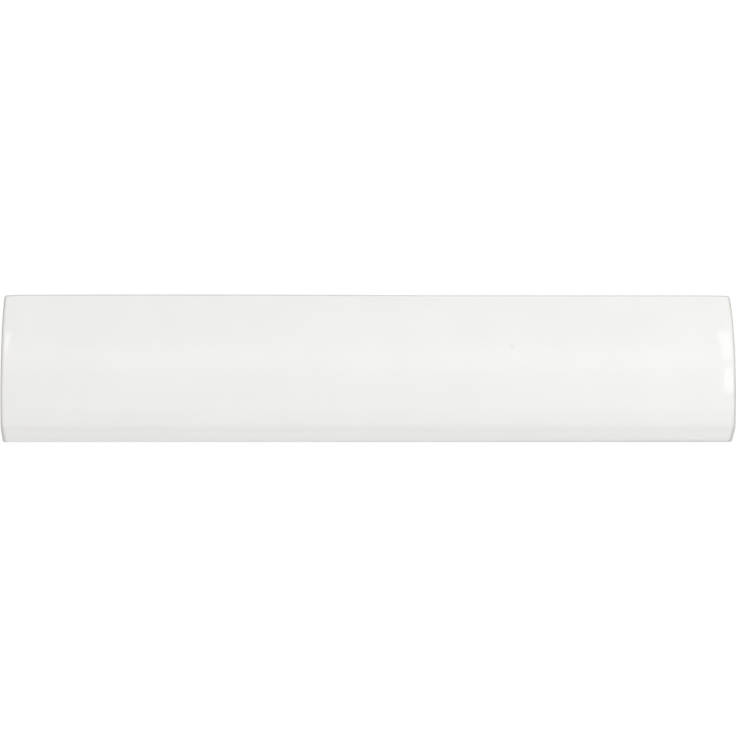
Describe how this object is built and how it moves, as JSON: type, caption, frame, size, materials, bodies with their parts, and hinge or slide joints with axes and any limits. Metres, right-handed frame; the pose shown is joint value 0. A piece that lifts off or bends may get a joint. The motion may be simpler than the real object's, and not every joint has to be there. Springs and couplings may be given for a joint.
{
  "type": "pencil liner tile",
  "caption": "Narrow glazed ceramic trim tile with a low arched crown, upright long sides, softened square ends and a grooved bed face for adhesive.",
  "frame": {"origin": "centre of the bed face, the flat back that goes against the wall", "axes": "+X along the tile, +Y across it from one long side to the other, +Z from the bed face out through the crown"},
  "size_m": [0.15, 0.03, 0.014],
  "materials": {
    "white_glaze": "glossy white glaze over a pale pressed body"
  },
  "bodies": {
    "root": {"pencil_liner_tile": "white_glaze"}
  },
  "joints": []
}
